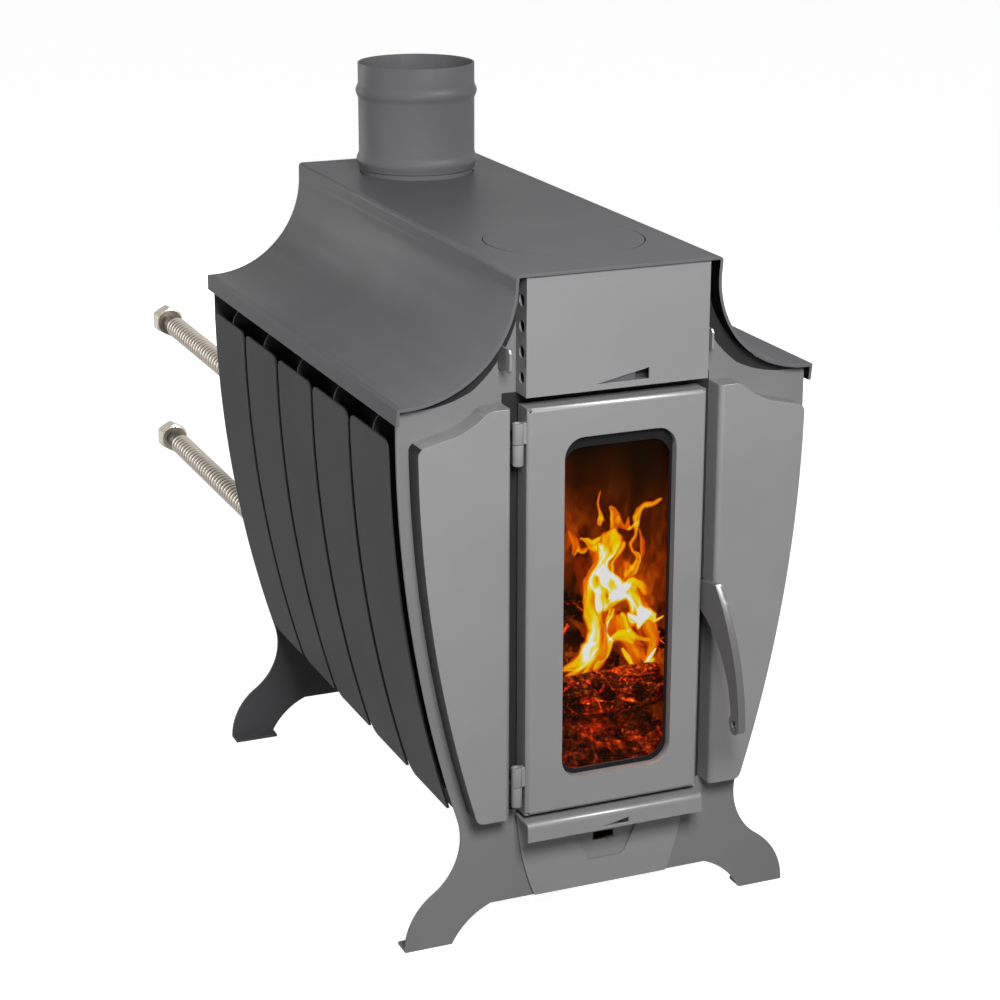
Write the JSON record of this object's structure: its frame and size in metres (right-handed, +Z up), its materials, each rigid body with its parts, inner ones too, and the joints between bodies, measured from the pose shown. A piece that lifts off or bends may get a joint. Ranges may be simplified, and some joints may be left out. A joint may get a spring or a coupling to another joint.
{
  "type": "heating stove",
  "caption": "Wood-burning heating stove with bowed finned sides, flared hood, glazed door, lever handle, ash drawer, round hob, flue collar and water hoses.",
  "frame": {"origin": "on the floor, on the stove's middle plane, midway between the handle's front and the nuts on the water nipples", "axes": "+Z up, the door faces -Y, +X to the right seen from the front"},
  "size_m": [0.407, 1.1445, 0.75],
  "materials": {
    "body_paint": "matte heat-resistant dark grey paint",
    "dark_paint": "matte black heat-resistant paint",
    "bare_steel": "satin",
    "grate_iron": "rough cast",
    "ember": "glowing charcoal",
    "log": "charred bark",
    "fire_glass": "clear glass ceramic",
    "seal": "black glass-fibre braid",
    "rope": "woven glass-fibre rope",
    "hose_steel": "bright corrugated stainless steel",
    "nut_metal": "nickel-plated brass"
  },
  "bodies": {
    "stove": {"front_leg_panel": "body_paint", "rear_leg_panel": "body_paint", "left_wing_panel": "body_paint", "right_wing_panel": "body_paint", "convector_hood": "body_paint", "hob_ring": "dark_paint", "flue_stub": "dark_paint", "flue_collar": "body_paint", "upper_air_box": "body_paint", "firebox_front": "dark_paint", "firebox_shell": "dark_paint", "firebox_back": "dark_paint", "firebox_floor": "dark_paint", "firebox_top": "dark_paint", "smoke_baffle": "dark_paint", "grate": "grate_iron", "ember_bed": "ember", "firewood": "log", "ash_box": "dark_paint", "body_hinge_barrels": "body_paint", "hinge_pins": "bare_steel", "latch_catch": "bare_steel", "panel_hooks": "body_paint", "water_tank": "bare_steel", "water_nipples": "bare_steel", "upper_hose": "hose_steel", "lower_hose": "hose_steel", "upper_hose_stove_nut": "nut_metal", "lower_hose_stove_nut": "nut_metal", "upper_hose_free_nut": "nut_metal", "lower_hose_free_nut": "nut_metal", "left_fin_1": "body_paint", "left_fin_2": "body_paint", "left_fin_3": "body_paint", "left_fin_4": "body_paint", "left_fin_5": "body_paint", "right_fin_1": "body_paint", "right_fin_2": "body_paint", "right_fin_3": "body_paint", "right_fin_4": "body_paint", "right_fin_5": "body_paint"},
    "door": {"door_pan": "body_paint", "door_liner": "bare_steel", "door_glass": "fire_glass", "glass_gasket": "seal", "door_gasket": "rope", "glass_clamps": "bare_steel", "clamp_screws": "bare_steel", "door_hinge_barrels": "body_paint", "handle_pin": "bare_steel"},
    "handle": {"door_handle": "bare_steel"},
    "drawer": {"ash_drawer": "bare_steel", "ash_drawer_front": "body_paint"},
    "lower_slider": {"lower_air_slider": "body_paint"},
    "upper_slider": {"upper_air_slider": "body_paint"},
    "hob_lid": {"hob_cover": "body_paint"}
  },
  "joints": [
    {"name": "door_hinge", "type": "hinge", "parent": "stove", "child": "door", "pos_m": [-0.095, -0.25705, 0.32], "axis": [0, 0, -1], "range_deg": [0, 110]},
    {"name": "handle_pivot", "type": "hinge", "parent": "door", "child": "handle", "pos_m": [0.0918, -0.25415, 0.32], "axis": [-1, 0, 0], "range_deg": [0, 30]},
    {"name": "drawer_slide", "type": "slide", "parent": "stove", "child": "drawer", "axis": [0, -1, 0], "range_m": [0, 0.33]},
    {"name": "lower_air_slide", "type": "slide", "parent": "drawer", "child": "lower_slider", "axis": [1, 0, 0], "range_m": [-0.02, 0]},
    {"name": "upper_air_slide", "type": "slide", "parent": "stove", "child": "upper_slider", "axis": [1, 0, 0], "range_m": [-0.035, 0.0125]},
    {"name": "hob_lift", "type": "slide", "parent": "stove", "child": "hob_lid", "axis": [0, 0, 1], "range_m": [0, 0.05]}
  ]
}
